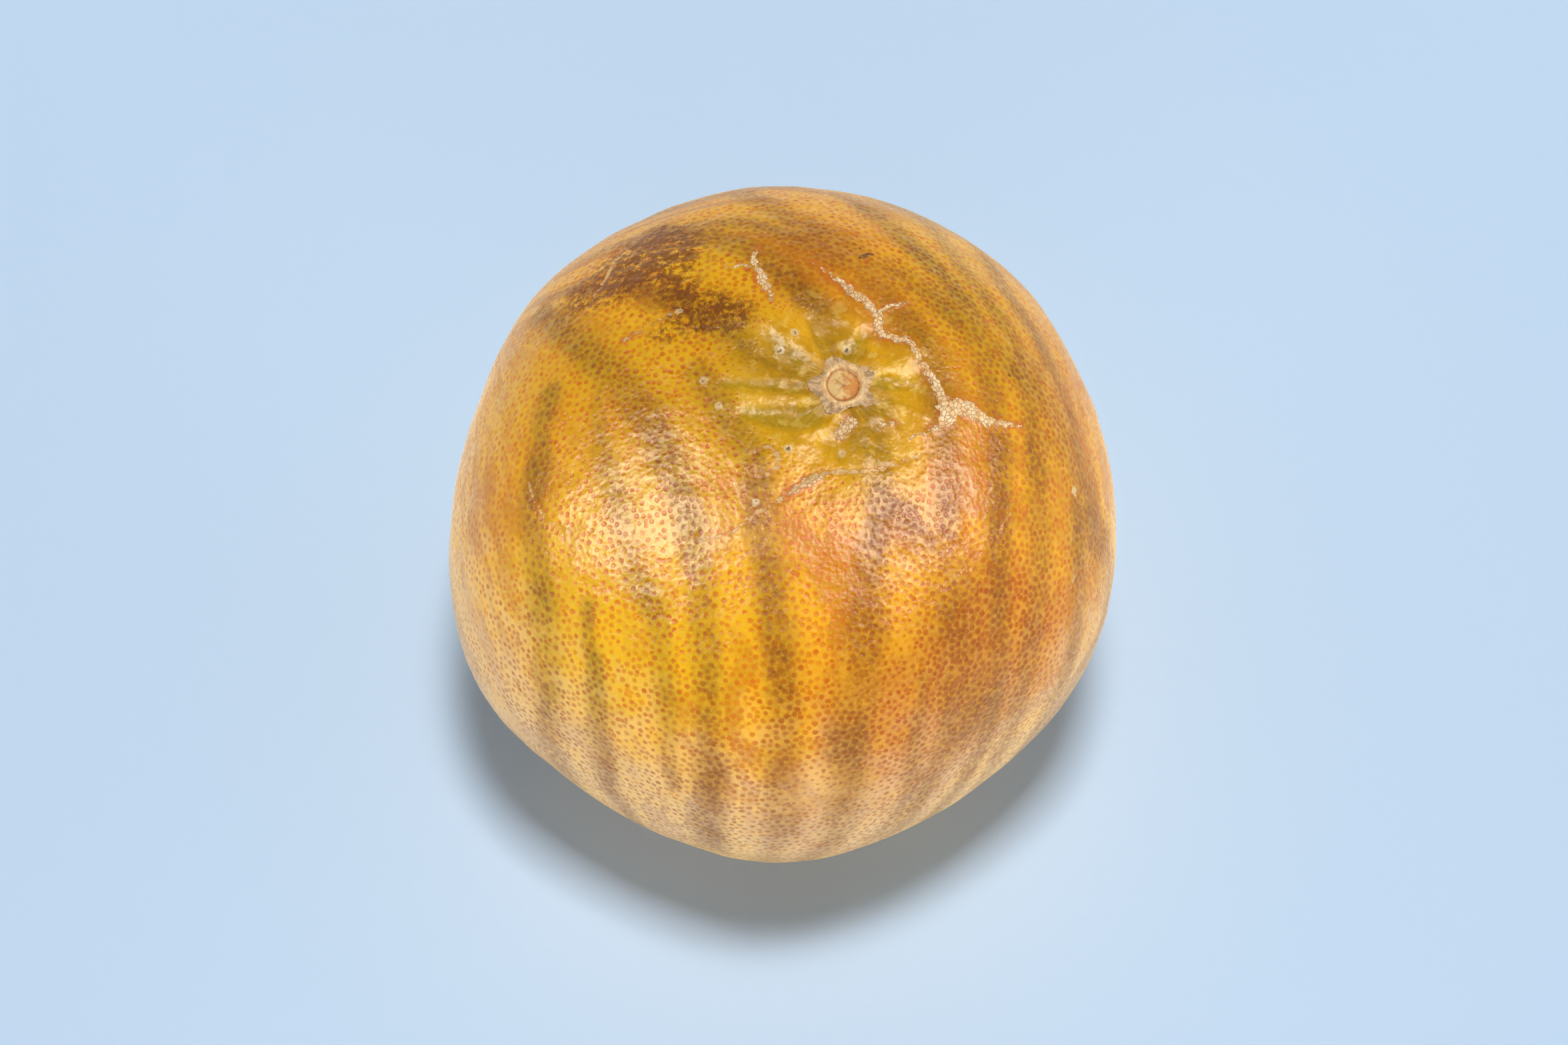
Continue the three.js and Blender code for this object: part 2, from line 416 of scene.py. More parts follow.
SPECKS = (  # angle, heading, radius in mm
    (30, 78, 0.55), (31, 76, 0.35), (29, 80, 0.3), (32, 80, 0.3), (26, 40, 0.22), (34, 12, 0.26),
    (27, 60, 0.2), (36, 30, 0.2), (44, 14, 0.22), (70, -75, 0.2), (58, -104, 0.18), (82, -112, 0.2),
    (95, 60, 0.4), (80, 160, 0.35), (110, -10, 0.3), (76, 40, 0.25), (64, 100, 0.25), (120, -150, 0.3),
)
RUSSET_PATCHES = (  # angle, heading, radius in mm, strength
    (48, 140, 6.5, 1.0), (50, 128, 4.5, 0.7), (43, 131, 5.0, 0.8), (53, 149, 4.0, 0.6),
    (36, 142, 3.0, 0.55), (29, 147, 4.2, 0.85), (24, 140, 2.8, 0.55), (34, 158, 3.0, 0.5),
    (118, 30, 7.0, 0.6), (104, 100, 5.0, 0.5),
)
GOLD_PATCHES = (  # these and the next three the same way
    (48, -22, 10, 0.5), (38, 35, 12, 0.9), (50, 60, 12, 0.5), (32, 10, 8, 0.4), (40, 65, 9, 0.5),
    (50, -178, 9, 0.7), (56, 160, 9, 0.7), (42, 168, 8, 0.7), (62, 175, 8, 0.6),
    (10, -170, 9, 0.8), (12, -40, 7, 0.7), (10, 100, 6, 0.5), (18, -150, 6, 0.6), (18, 160, 6, 0.6),
    (42, -152, 9, 0.8), (40, -130, 8, 0.6),
    (60, -142, 13, 1.0), (58, -118, 11, 0.8), (44, -105, 8, 0.5), (28, 172, 8, 0.8), (37, 128, 7, 0.9),
    (24, 152, 7, 0.8), (25, -150, 8, 0.8), (12, 20, 5, 0.7), (45, 110, 8, 0.5), (72, -130, 10, 0.6),
    (14, -80, 7, 0.7), (95, 150, 14, 0.7), (100, 60, 15, 0.7), (125, -60, 16, 0.7), (80, 95, 12, 0.7),
)
BLUSH_PATCHES = (
    (49, -176, 8, 0.5), (54, 167, 7, 0.4), (62, -168, 8, 0.5), (27, 88, 6, 0.5), (21, 62, 5, 0.7),
    (34, 72, 9, 0.4), (40, 40, 10, 0.3), (42, 5, 10, 0.5), (50, -20, 10, 0.3), (33, -95, 6, 0.4),
    (52, -92, 9, 0.5), (20, 95, 4, 0.8), (85, 20, 15, 0.8), (110, 120, 15, 0.7), (125, -150, 15, 0.7),
    (75, 130, 12, 0.6), (100, -10, 14, 0.6), (150, 60, 16, 0.7),
)
AMBER_PATCHES = (
    (66, -60, 12, 0.6), (60, -74, 10, 1.0), (74, -66, 11, 0.9), (52, -48, 9, 0.8),
    (64, -46, 10, 0.7), (45, -34, 8, 0.25), (70, -35, 10, 0.6), (86, -84, 9, 0.6),
    (66, -165, 5, 0.4), (33, 92, 7, 0.5), (60, 20, 8, 0.4),
    (100, -150, 12, 0.5), (110, 0, 12, 0.6), (85, 170, 12, 0.5), (130, 90, 15, 0.6),
)
GREEN_PATCHES = (
    (7, 12, 3.5, 0.8), (7, -45, 2.5, 0.5), (19, -178, 4.5, 0.9), (22, -157, 4, 0.7),
    (14, -160, 3.5, 0.7), (12, 135, 4, 0.7), (9, 80, 3, 0.9), (24, 130, 4, 0.6),
    (27, 105, 5, 0.7), (16, -122, 4, 0.6), (24, -84, 5, 0.4), (10, -140, 3.5, 0.7),
    (24, -66, 4, 0.4), (31, -120, 4, 0.5), (40, 172, 6, 0.5), (34, -165, 5, 0.5), (38, 150, 4, 0.4),
)
FURROW_LINES = (  # the creases that run out from the button: stations, half widths in mm
    (((4.5, 166), (11, 151), (17, 143)), (1.3, 1.9, 1.0)),
    (((4.5, 76), (8, 76), (12, 68)), (1.0, 1.4, 0.6)),
    (((4.5, 17), (8, 9), (12, 6)), (0.9, 1.1, 0.5)),
    (((4.5, -90), (9, -88), (15, -90)), (1.2, 1.3, 0.6)),
    (((4.5, -122), (9, -130), (13, -145), (19, -160)), (1.2, 1.8, 1.6, 0.8)),
    (((4.5, -170), (12, -176), (22, -179)), (0.6, 0.8, 0.4)),
    (((6, -28), (9, -30), (13, -34)), (0.5, 0.8, 0.4)),
    (((6, 112), (10, 110), (15, 112)), (0.7, 1.0, 0.5)),
)


def patch_strength(points, patches):
    """0 to 1: the sum of the patches' Gaussians strength x exp(-(distance / radius)^2)."""
    total = np.zeros(len(points))
    for angle, heading, radius, strength in patches:
        middle = on_rind(trail([(angle, heading)]))
        distance = np.linalg.norm(points - middle, axis=1)
        total += strength * np.exp(-((distance / radius) ** 2))
    return np.minimum(total, 1.0)


def stripe_planes(toward, points):
    """(turn in degrees, steps along) of the plane through both stripe poles and the point, measured
    from the far side, both wandering slowly over the rind."""
    one, other = unit(np.array(STRIPE_POLES))
    along = unit(other - one)
    start = unit(FAR_SIDE - along * (along @ FAR_SIDE))
    from_pole = toward - one
    turn = np.degrees(np.arctan2(from_pole @ np.cross(along, start), from_pole @ start))
    return turn + 2.0 * waves(points, 26, 11) + 0.8 * waves(points, 9, 14), from_pole @ along


def stripe_strength(turn, off_pole, points):
    """About 0 to 1: the largest over the stripes of depth x exp(-(distance / reach)^3), with the reach
    a fixed multiple of the half width. The far stripes are exp(-(turn / width)^2) of the turn from
    the nearest stripe plane, and fade out at the ends of the far side and towards their poles. All of
    it is multiplied by 0.9 + 0.2 x a slow random wave."""
    wander = STRIPE_WANDER * waves(points, 9, 12)[:, None] * np.array([0.6, -0.5, 0.6])
    strength = np.zeros(len(points))
    for stations, half_widths, depth in STRIPES:
        distance, share = nearest_on(points + wander, on_rind(trail(stations, STRIPE_SPACING)))
        half_width = np.interp(share, np.linspace(0, 1, len(half_widths)), half_widths)
        reach = STRIPE_REACH * half_width
        strength = np.maximum(strength, depth * np.exp(-((distance / reach) ** 3)))
    gap = 360 / FAR_STRIPES
    off = (turn + gap / 2) % gap - gap / 2
    far = FAR_STRIPE_STRENGTH * np.exp(-((off / FAR_STRIPE_WIDTH) ** 2))
    far = far * (1 - smooth(*FAR_STRIPES_END, np.abs(turn)))
    far = far * smooth(STRIPE_POLE_CLEAR, 3 * STRIPE_POLE_CLEAR, off_pole)
    return np.maximum(strength, far) * (0.9 + 0.2 * waves(points, 14, 13))


def make_fruit():
    """The rind: base shape, then relief in mm added along the reach: slow swells, radial wrinkles and
    lumps round the button, furrows, raised cork, sunk hairlines, pocks with raised rims, the seat
    under the button, and a pit at each gland. The marks' strengths go into the mesh as attributes."""
    scar_lines = [trail(stations, SCAR_SPACING) for stations, _ in CORKY_SCARS + HAIRLINES]
    scar_middles = thinned(np.concatenate(scar_lines), SCAR_POINT_GAP)
    upright, faces, cell_of_face, cell_count, gland_count = gland_cells(scar_middles)
    angle, heading = angle_and_heading(upright)
    reach = rind_reach(upright)
    arc = angle * body_reach(lean(upright))
    base = place(upright, reach)
    cork = widest_of(base, CORKY_SCARS)
    hairline = widest_of(base, HAIRLINES + ((CORKY_RING, (0.1, 0.4, 0.15)),))
    pock = widest_of(base, [([(a, h)], (r,)) for a, h, r in POCKS])
    speck = widest_of(base, [([(a, h)], (r,)) for a, h, r in SPECKS])
    furrow = smooth(-1.0, 0.9, widest_of(base, FURROW_LINES))
    toward = lean(upright)
    turn, along = stripe_planes(toward, base)
    poles = unit(np.array(STRIPE_POLES))
    off_pole = np.min([np.linalg.norm(toward - pole, axis=1) for pole in poles], 0)

    under_button = 1 - smooth(CALYX_NOTCH_RADIUS - 1.2, CALYX_NOTCH_RADIUS - 0.2, arc)
    open_rind = smooth(9, 21, arc)
    off_button = smooth(CALYX_NOTCH_RADIUS, CALYX_TIP_RADIUS + 1, arc)
    grain = np.stack([9 * np.cos(heading), 9 * np.sin(heading), arc / 6], 1)
    round_stem = off_button * (1 - smooth(9, 26, arc))
    relief = SLOW_SWELL * waves(base, 24, 1) + SMALL_SWELL * waves(base, 7, 2)
    relief = relief * open_rind
    relief += round_stem * (WRINKLE * waves(grain, 4.4, 4) + LUMP * waves(base, 3.4, 5))
    relief += off_button * (1 - smooth(6, 12, arc)) * FINE_WRINKLE * waves(grain, 1.7, 6)
    relief -= FURROW_SINK * furrow * off_button
    relief += CORK_RISE * smooth(-0.3, 0.3, cork) - HAIRLINE_SINK * smooth(-0.35, 0.15, hairline)
    relief += POCK_RIM * smooth(-0.7, -0.3, pock) - POCK_SINK * smooth(-0.25, 0.1, pock)
    relief -= SEAT_DEPTH * under_button
    is_gland = np.zeros(len(base))
    is_gland[:gland_count] = smooth(0.1, -0.4, cork[:gland_count]) * open_rind[:gland_count]
    points = place(upright, reach + relief - PIT_DEPTH * is_gland)

    fruit = make_piece("grapefruit", points, faces)
    mesh = fruit.data
    rng = np.random.default_rng(SIZE_SEED)
    size = rng.uniform(SMALLEST_GLAND, LARGEST_GLAND, cell_count) * is_gland[:cell_count]
    set_attribute(mesh, "gland_middle", "FLOAT_VECTOR", "FACE", base[cell_of_face])
    set_attribute(mesh, "gland_size", "FLOAT", "FACE", size[cell_of_face])
    set_attribute(mesh, "stem_grain", "FLOAT_VECTOR", "POINT", grain)
    flow = np.stack([30 * np.cos(np.radians(turn)), 30 * np.sin(np.radians(turn)), 9 * along], 1)
    set_attribute(mesh, "stripe_grain", "FLOAT_VECTOR", "POINT", flow)
    point_values = {
        "stripe": stripe_strength(turn, off_pole, base),
        "from_stem": arc,
        "furrow": furrow,
        "cork": cork,
        "hairline": hairline,
        "speck": speck,
        "pock": pock,
        "russet": patch_strength(base, RUSSET_PATCHES),
        "gold": patch_strength(base, GOLD_PATCHES),
        "blush": patch_strength(base, BLUSH_PATCHES),
        "amber": patch_strength(base, AMBER_PATCHES),
        "green": patch_strength(base, GREEN_PATCHES),
    }
    for name, values in point_values.items():
        set_attribute(mesh, name, "FLOAT", "POINT", values)
    return fruit


# ================================================================ calyx button
SCAR_RADIUS, SCAR_HEIGHT, SCAR_FALL = 2.3, 0.62, 0.42
GROOVE_RADIUS, GROOVE_DEPTH, GROOVE_WIDTH = 2.55, 0.28, 0.1
COLLAR_RADIUS, COLLAR_HEIGHT, COLLAR_ROUND = 3.25, 0.42, 1.6
SEPAL_HEIGHT, SEPAL_FALL = 0.34, 0.2
BUTTON_FOOT = -0.6
BUTTON_RINGS = 52
BUTTON_SECTORS = 220


def ragged_edge(heading):
    """Outline of the calyx: the star notch + (tip - notch) x (1 + cos 5h) / 2, a little deeper than the
    solid's, its points spaced and drawn out unevenly by cosines of 2 and 3 times the heading, with torn
    teeth from cosines of 9, 16 and 27 times it, cut off just past the tips."""
    point = CALYX_POINTS * (heading - radians(CALYX_TURN))
    star = 0.5 + 0.5 * np.cos(point + 0.5 * np.sin(2 * heading))
    uneven = 0.2 * np.cos(2 * heading - 1.0) + 0.12 * np.cos(3 * heading + 2.0)
    teeth = 0.07 * np.cos(9 * heading + 1.5 * np.sin(heading))
    teeth = teeth + 0.05 * np.cos(16 * heading + 2 * np.sin(2 * heading))
    teeth = teeth + 0.05 * np.cos(27 * heading + 2 * np.cos(heading))
    edge = CALYX_NOTCH_RADIUS - 0.4 + (CALYX_TIP_RADIUS - CALYX_NOTCH_RADIUS + 0.3) * star
    return np.minimum(edge + uneven + teeth, CALYX_TIP_RADIUS + 0.1)


def button_height(across, heading, edge):
    """Height over the rind's hollow: the scar's dome, height - fall x (across / radius)^2, the collar,
    height - round x (across - its middle)^2, then the sepals, height - fall x (share past the
    collar)^0.8, each joined to the next by a smooth step, less the groove's Gaussian."""
    dome = SCAR_HEIGHT - SCAR_FALL * (across / SCAR_RADIUS) ** 2
    collar = COLLAR_HEIGHT - COLLAR_ROUND * (across - (GROOVE_RADIUS + COLLAR_RADIUS) / 2) ** 2
    past_collar = np.clip((across - COLLAR_RADIUS) / (edge - COLLAR_RADIUS), 0, 1)
    sepals = SEPAL_HEIGHT - SEPAL_FALL * past_collar**0.8
    height = dome + (collar - dome) * smooth(SCAR_RADIUS, GROOVE_RADIUS + 0.1, across)
    height += (sepals - height) * smooth(COLLAR_RADIUS - 0.1, COLLAR_RADIUS + 0.15, across)
    height -= GROOVE_DEPTH * np.exp(-(((across - GROOVE_RADIUS + 0.05) / GROOVE_WIDTH) ** 2))
    return height


def make_calyx_button():
    """Grid of rings by sectors: the rings go out over the top to the ragged edge, then turn under and
    come back to a single point below, inside the seat. The scar and collar are squashed out of round
    by cosines of 1, 2 and 5 times the heading, and all of the top is roughened by random waves."""
    heading = np.linspace(0, 2 * np.pi, BUTTON_SECTORS, endpoint=False)[None, :]
    out = np.linspace(1 / BUTTON_RINGS, 1, BUTTON_RINGS)[:, None]
    edge = ragged_edge(heading)
    across = out * edge
    squashed = 1 + 0.07 * np.cos(heading + 2) + 0.04 * np.cos(2 * heading + 0.5)
    squashed = squashed + 0.02 * np.cos(5 * heading)
    top = button_height(across * squashed, heading, edge)
    drop = np.array([0.3, 0.7, 0.8])[:, None]
    inward = np.array([0.985, 0.9, 0.45])[:, None]
    across = np.concatenate([across, inward * edge])
    height = np.concatenate([top, top[-1:] - drop])
    turned = np.broadcast_to(heading, across.shape)
    uneven = np.broadcast_to(squashed, across.shape)
    across = np.concatenate([[0.0], across.ravel(), [0.0]])
    height = np.concatenate([[SCAR_HEIGHT], height.ravel(), [BUTTON_FOOT]])
    turned = np.concatenate([[0.0], turned.ravel(), [0.0]])
    uneven = np.concatenate([[1.0], uneven.ravel(), [1.0]])
    upright = upright_direction(across / CROWN_RISE, turned)
    flat = np.stack([across * np.cos(turned), across * np.sin(turned), 0 * across], 1)
    rough = 0.05 * waves(flat, 0.9, 21) + 0.03 * waves(flat, 0.45, 22)
    rough = smooth(1.0, COLLAR_RADIUS, across) * rough + 0.03 * waves(flat, 1.6, 23)
    inside = rind_reach(upright_direction(np.minimum(across, COLLAR_RADIUS) / CROWN_RISE, turned))
    lie = smooth(COLLAR_RADIUS, CALYX_TIP_RADIUS, across)
    reach = inside + (rind_reach(upright) - inside) * lie + height + rough
    rows = len(across) // BUTTON_SECTORS
    faces = ring_faces(rows, BUTTON_SECTORS)
    button = make_piece("dried_calyx", place(upright, reach), faces)
    set_attribute(button.data, "across", "FLOAT", "POINT", across * uneven)
    set_attribute(button.data, "flat_place", "FLOAT_VECTOR", "POINT", flat)
    fibre = np.stack([4 * np.cos(turned), 4 * np.sin(turned), across / 5], 1)
    set_attribute(button.data, "fibre_grain", "FLOAT_VECTOR", "POINT", fibre)
    return button


def ring_faces(rings, sectors):
    """Faces between a first point, `rings` rings of `sectors` points and a last point."""
    first = np.arange(sectors)
    onward = (first + 1) % sectors
    fan = np.stack([np.zeros(sectors, int), 1 + first, 1 + onward], 1)
    row = 1 + np.arange(rings - 1)[:, None] * sectors
    a, b = row + first, row + onward
    quads = np.stack([a, a + sectors, b + sectors, b], -1).reshape(-1, 4)
    last = 1 + rings * sectors
    under = np.stack([np.full(sectors, last), last - sectors + onward, last - sectors + first], 1)
    return [*fan.tolist(), *quads.tolist(), *under.tolist()]


# ================================================================ finishes
def paint(red, green, blue):
    """A colour from 0 to 255 screen values, as the linear colour that shaders take."""
    screen = np.array([red, green, blue]) / 255
    linear = np.where(screen <= 0.04045, screen / 12.92, ((screen + 0.055) / 1.055) ** 2.4)
    return (*linear.tolist(), 1.0)


class Finish:
    """A material's node tree, built by short calls that each give back a socket."""

    def __init__(self, name, **shader_values):
        """A new material whose shader has these values on its own sockets."""
        self.material = bpy.data.materials.new(name)
        self.material.use_nodes = True
        self.tree = self.material.node_tree
        self.shader = self.tree.nodes["Principled BSDF"]
        for socket, value in shader_values.items():
            self.shader.inputs[socket.replace("_", " ")].default_value = value

    def node(self, kind, inputs=(), **settings):
        """A new node with these inputs, by socket, and these settings."""
        made = self.tree.nodes.new(kind)
        for key, value in settings.items():
            setattr(made, key, value)
        for socket, value in dict(inputs).items():
            self.feed(made.inputs[socket], value)
        return made

    def feed(self, socket, value):
        """Links another node's output to this socket, or sets the socket's own value."""
        if isinstance(value, bpy.types.NodeSocket):
            self.tree.links.new(value, socket)
        else:
            socket.default_value = value

    def position(self):
        """Place on the object, in mm."""
        place_m = self.node("ShaderNodeTexCoord").outputs["Object"]
        scaled = self.node("ShaderNodeVectorMath", {0: place_m, "Scale": 1 / MM}, operation="SCALE")
        return scaled.outputs[0]

    def attribute(self, name, output="Fac"):
        """A number, or with output "Vector" a vector, that the mesh holds under this name."""
        return self.node("ShaderNodeAttribute", attribute_name=name).outputs[output]

    def maths(self, operation, a, b=0.0, clamp=False):
        """One arithmetic step on two numbers, kept within 0 to 1 if clamp is set."""
        made = self.node("ShaderNodeMath", {0: a, 1: b}, operation=operation, use_clamp=clamp)
        return made.outputs[0]

    def plus(self, a, b, clamp=False):
        """a + b."""
        return self.maths("ADD", a, b, clamp)

    def times(self, a, b, clamp=False):
        """a x b."""
        return self.maths("MULTIPLY", a, b, clamp)

    def larger(self, a, b):
        """The larger of a and b."""
        return self.maths("MAXIMUM", a, b)

    def between(self, value, low, high, to_low=0.0, to_high=1.0):
        """to_low below low, to_high above high, smooth between them."""
        inputs = {"Value": value, "From Min": low, "From Max": high, "To Min": to_low, "To Max": to_high}
        return self.node("ShaderNodeMapRange", inputs, interpolation_type="SMOOTHSTEP").outputs[0]

    def noise(self, at, size, detail=2.0, roughness=0.5):
        """Cloudy noise, 0 to 1, with clouds of about this size."""
        inputs = {"Vector": at, "Scale": 1 / size, "Detail": detail, "Roughness": roughness}
        return self.node("ShaderNodeTexNoise", inputs).outputs["Fac"]

    def mix(self, amount, first, second):
        """first x (1 - amount) + second x amount, for colours."""
        return self.node("ShaderNodeMix", {0: amount, 6: first, 7: second}, data_type="RGBA").outputs[2]

    def bump(self, height, depth):
        """Surface tilt from a height that is given in parts of `depth` mm."""
        inputs = {"Height": height, "Distance": depth * MM, "Strength": 1.0}
        return self.node("ShaderNodeBump", inputs).outputs[0]


def rind_finish():
    """Citrus rind, painted in layers, each mixed over the last by a strength: gold, blush, amber and
    green ground, a pale lower part that is painted sheen, dark olive furrows that are partly green
    and partly painted shade, brown-olive stripes, a spot with a tone of its own on each gland, a pale
    net between glands, streaks round the button with pale flecks there that are partly painted glints,
    russet, cork with a crackle, hairlines, pale-rimmed pocks and specks. Sizes are in mm."""
    f = Finish("rind", IOR=1.36, Sheen_Weight=0.5, Sheen_Roughness=0.4, Sheen_Tint=paint(255, 208, 138))
    at = f.position()
    fine, small, middling = f.noise(at, 0.55, 3, 0.6), f.noise(at, 1.5, 4, 0.6), f.noise(at, 5, 3)
    streaks = f.noise(f.attribute("stripe_grain", "Vector"), 2.4, 4, 0.6)
    from_stem = f.attribute("from_stem")
    near_stem = f.between(from_stem, 7, 24, 1.0, 0.0)

    def patch(name, strength):
        """Patch strength with an edge that the middling and small noise break up."""
        edge = f.times(f.plus(middling, f.times(small, 0.6)), 1.25)
        return f.times(f.times(f.attribute(name), edge), strength, clamp=True)

    # Painted sheen: the ground turns pale from 50 to 80 mm from the stem downwards, standing in for the
    # pale sheen of light along the fruit's lower edge.
    painted_pale_sheen = f.between(f.plus(from_stem, f.between(middling, 0.3, 0.7, -6.0, 6.0)), 50, 80)
    gland_place = f.attribute("gland_middle", "Vector")
    chance = f.node("ShaderNodeTexWhiteNoise", {"Vector": gland_place}).outputs["Color"]
    own_tone, own_strength = f.node("ShaderNodeSeparateColor", {0: chance}).outputs[:2]
    apart = f.node("ShaderNodeVectorMath", {0: at, 1: gland_place}, operation="DISTANCE").outputs["Value"]
    apart = f.plus(apart, f.between(fine, 0.25, 0.75, -0.1, 0.1))
    size = f.attribute("gland_size")
    share = f.maths("DIVIDE", apart, f.larger(f.times(size, GLAND_RADIUS), 0.01))
    spot = f.between(share, 0.65, 1.15, 1.0, 0.0)
    pit = f.between(apart, 0.1, 0.42, 1.0, 0.0)
    pit = f.times(pit, f.between(size, 0.0, 0.5))

    ground = f.mix(f.between(streaks, 0.44, 0.57), paint(238, 164, 20), paint(192, 114, 12))
    ground = f.mix(patch("gold", 0.85), ground, paint(226, 166, 6))
    ground = f.mix(patch("blush", 0.6), ground, paint(216, 130, 14))
    ground = f.mix(patch("amber", 0.9), ground, paint(194, 112, 26))
    # Painted sheen: the lower part of the fruit mixed half way to pale beige.
    ground = f.mix(f.times(painted_pale_sheen, 0.5), ground, paint(240, 192, 142))
    ground = f.mix(patch("green", 0.16), ground, paint(150, 124, 6))
    # Dark olive in the furrows round the button: partly the rind's own green tone, partly painted shade
    # in the creases.
    furrow_green_and_shade_strength = f.between(f.attribute("green"), 0.0, 0.6, 0.12, 0.65)
    furrow_green_and_shade_tone = f.mix(small, paint(104, 94, 4), paint(170, 142, 6))
    ground = f.mix(f.times(f.attribute("furrow"), furrow_green_and_shade_strength), ground, furrow_green_and_shade_tone)

    stripe = f.times(f.attribute("stripe"), f.between(small, 0.3, 0.7, 0.7, 1.2), clamp=True)
    olive = f.larger(f.attribute("gold"), near_stem)
    stripe_tone = f.mix(olive, paint(142, 80, 12), paint(152, 108, 8))
    ground = f.mix(f.times(stripe, 0.95), ground, stripe_tone)

    spot_strength = f.between(own_strength, 0.0, 1.0, 0.6, 1.0)
    spot_strength = f.times(spot_strength, f.between(middling, 0.3, 0.65, 0.85, 1.0))
    spot_tone = f.mix(own_tone, paint(220, 126, 8), paint(204, 96, 4))
    spot_tone = f.mix(f.attribute("amber"), spot_tone, paint(176, 76, 4))
    # Painted sheen: the gland spots turn paler over the lower part too.
    spot_tone = f.mix(painted_pale_sheen, spot_tone, paint(178, 106, 44))
    spot_tone = f.mix(stripe, spot_tone, paint(138, 70, 10))
    ground = f.mix(f.times(spot, spot_strength), ground, spot_tone)
    net = f.times(f.between(apart, 0.4, 0.66, 0.0, 1.0), f.between(fine, 0.42, 0.6, 0.05, 0.25))
    ground = f.mix(net, ground, paint(240, 180, 60))

    radial = f.noise(f.attribute("stem_grain", "Vector"), 0.9, 4, 0.7)
    by_button = f.between(from_stem, 4, 12, 1.0, 0.0)
    cream_streak = f.times(f.between(radial, 0.5, 0.66, 0.0, 0.45), by_button)
    ground = f.mix(cream_streak, ground, paint(240, 182, 52))
    olive_streak = f.times(f.between(radial, 0.5, 0.36, 0.0, 0.4), by_button)
    ground = f.mix(olive_streak, ground, paint(160, 120, 4))
    cloud = f.noise(f.attribute("stem_grain", "Vector"), 0.75, 3, 0.55)
    olive_cloud = f.times(f.between(cloud, 0.46, 0.36, 0.0, 0.25), near_stem)
    ground = f.mix(olive_cloud, ground, paint(156, 116, 12))
    orange_grain = f.times(f.between(fine, 0.5, 0.66, 0.0, 0.4), near_stem)
    ground = f.mix(orange_grain, ground, paint(204, 130, 6))
    # Pale flecks near the stem: partly cream colour, partly painted glints standing in for light catching
    # the small lumps.
    fleck_and_painted_glint = f.times(f.between(f.noise(at, 1.8, 3, 0.55), 0.56, 0.66, 0.0, 0.4), near_stem)
    ground = f.mix(fleck_and_painted_glint, ground, paint(244, 200, 96))

    russet_clouds = f.between(f.noise(at, 1.2, 5, 0.8), 0.34, 0.66, 0.0, 2.1)
    blotch = f.between(f.times(f.attribute("russet"), russet_clouds), 0.05, 1.05)
    ground = f.mix(f.times(blotch, 0.9), ground, f.mix(fine, paint(84, 36, 4), paint(136, 68, 6)))

    cork_fray = f.between(f.noise(at, 0.9, 4, 0.65), 0.25, 0.75, -0.5, 0.5)
    cork_edge = f.plus(f.attribute("cork"), cork_fray)
    cork = f.between(cork_edge, -0.05, 0.1)
    rim = f.times(f.between(cork_edge, -0.9, -0.1), f.between(middling, 0.4, 0.6, 0.1, 0.75))
    ground = f.mix(rim, ground, paint(204, 98, 28))
    cells = {"Vector": at, "Scale": 1.5, "Randomness": 1.0}
    cracks = f.node("ShaderNodeTexVoronoi", cells, feature="DISTANCE_TO_EDGE")
    crackle = f.between(cracks.outputs["Distance"], 0.0, 0.12)
    cork_tone = f.mix(f.between(small, 0.3, 0.7), paint(232, 176, 112), paint(250, 216, 166))
    cork_tone = f.mix(f.between(crackle, 0.0, 1.0, 0.7, 0.0), cork_tone, paint(176, 112, 50))
    ground = f.mix(cork, ground, cork_tone)

    line_fray = f.between(f.noise(at, 0.8, 3), 0.3, 0.7, -0.22, 0.16)
    line_edge = f.plus(f.attribute("hairline"), line_fray)
    line = f.between(line_edge, -0.04, 0.12)
    ground = f.mix(f.times(f.between(line_edge, -0.4, 0.0), 0.35), ground, paint(190, 96, 20))
    line_tone = f.mix(fine, paint(196, 138, 70), paint(240, 206, 140))
    ground = f.mix(f.times(line, 0.8), ground, line_tone)

    pock_edge = f.plus(f.attribute("pock"), f.between(fine, 0.3, 0.7, -0.12, 0.12))
    ground = f.mix(f.between(pock_edge, -0.55, -0.25, 0.0, 0.55), ground, paint(232, 202, 150))
    speck_edge = f.plus(f.attribute("speck"), f.between(fine, 0.3, 0.7, -0.25, 0.25))
    dark = f.larger(f.between(speck_edge, -0.05, 0.15), f.between(pock_edge, -0.05, 0.08))
    ground = f.mix(f.times(dark, 0.85), ground, paint(66, 38, 20))
    f.feed(f.shader.inputs["Base Color"], ground)

    rough = f.between(small, 0.3, 0.7, 0.25, 0.35)
    rough = f.plus(rough, f.times(spot, 0.05))
    rough = f.plus(rough, f.times(near_stem, 0.05))
    dry = f.larger(f.larger(cork, dark), f.times(blotch, 0.12))
    rough = f.plus(rough, f.times(dry, 0.45), clamp=True)
    f.feed(f.shader.inputs["Roughness"], rough)

    height = f.times(pit, -0.035)
    lumps = f.times(f.noise(at, 2.0, 2), f.between(from_stem, 8, 26, 0.38, 0.3))
    height = f.plus(height, lumps)
    height = f.plus(height, f.times(fine, 0.05))
    height = f.plus(height, f.times(f.times(radial, by_button), 0.2))
    height = f.plus(height, f.times(f.times(cork, f.plus(crackle, 1.0)), 0.07))
    height = f.plus(height, f.times(line, 0.06))
    f.feed(f.shader.inputs["Normal"], f.bump(height, 1.0))
    return f.material


